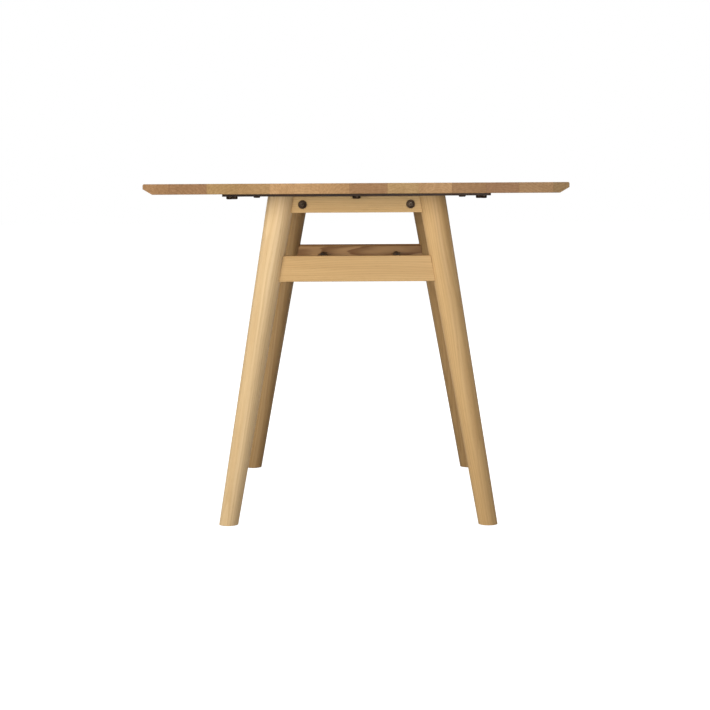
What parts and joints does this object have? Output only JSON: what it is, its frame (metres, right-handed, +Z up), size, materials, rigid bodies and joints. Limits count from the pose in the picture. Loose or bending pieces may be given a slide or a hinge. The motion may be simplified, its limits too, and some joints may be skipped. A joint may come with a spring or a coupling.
{
  "type": "drop leaf table",
  "caption": "Rectangular wooden table with a hinged drop leaf at one end, on two end frames of splayed round tapered legs with upper and lower rails.",
  "frame": {"origin": "on the floor, below the middle of the table with the leaf raised", "axes": "+Z up, +X to the right across the table's width, +Y along its length towards the drop leaf"},
  "size_m": [0.846, 1.3, 0.72],
  "materials": {
    "top_oak": "satin oiled solid wood, staved",
    "frame_oak": "satin oiled solid wood",
    "black_steel": "black coated steel",
    "zinc_steel": "dark plated steel",
    "glide_nylon": "matt nylon"
  },
  "bodies": {
    "root": {"table_top": "top_oak", "leg_front_left": "frame_oak", "leg_front_right": "frame_oak", "leg_rear_left": "frame_oak", "leg_rear_right": "frame_oak", "upper_rail_front": "frame_oak", "upper_rail_rear": "frame_oak", "lower_rail_front": "frame_oak", "lower_rail_rear": "frame_oak", "long_rail_left": "frame_oak", "long_rail_right": "frame_oak", "stretcher_rod_left": "black_steel", "stretcher_rod_right": "black_steel", "steel_bar_front": "black_steel", "steel_bar_rear": "black_steel", "bar_end_screws": "zinc_steel", "bar_middle_screws": "black_steel", "frame_bolts": "zinc_steel", "connector_bolts": "black_steel", "barrel_nuts": "zinc_steel", "hinge_plate_left": "black_steel", "hinge_plate_middle": "black_steel", "hinge_plate_right": "black_steel", "hinge_pins": "zinc_steel", "plate_screws": "zinc_steel", "foot_glides": "glide_nylon"},
    "leaf": {"drop_leaf": "top_oak", "hinge_flap_left": "black_steel", "hinge_flap_middle": "black_steel", "hinge_flap_right": "black_steel", "flap_screws": "zinc_steel"}
  },
  "joints": [
    {"name": "leaf_hinge", "type": "hinge", "parent": "root", "child": "leaf", "pos_m": [0, 0.3505, 0.6975], "axis": [-1, 0, 0], "range_deg": [0, 90]}
  ]
}
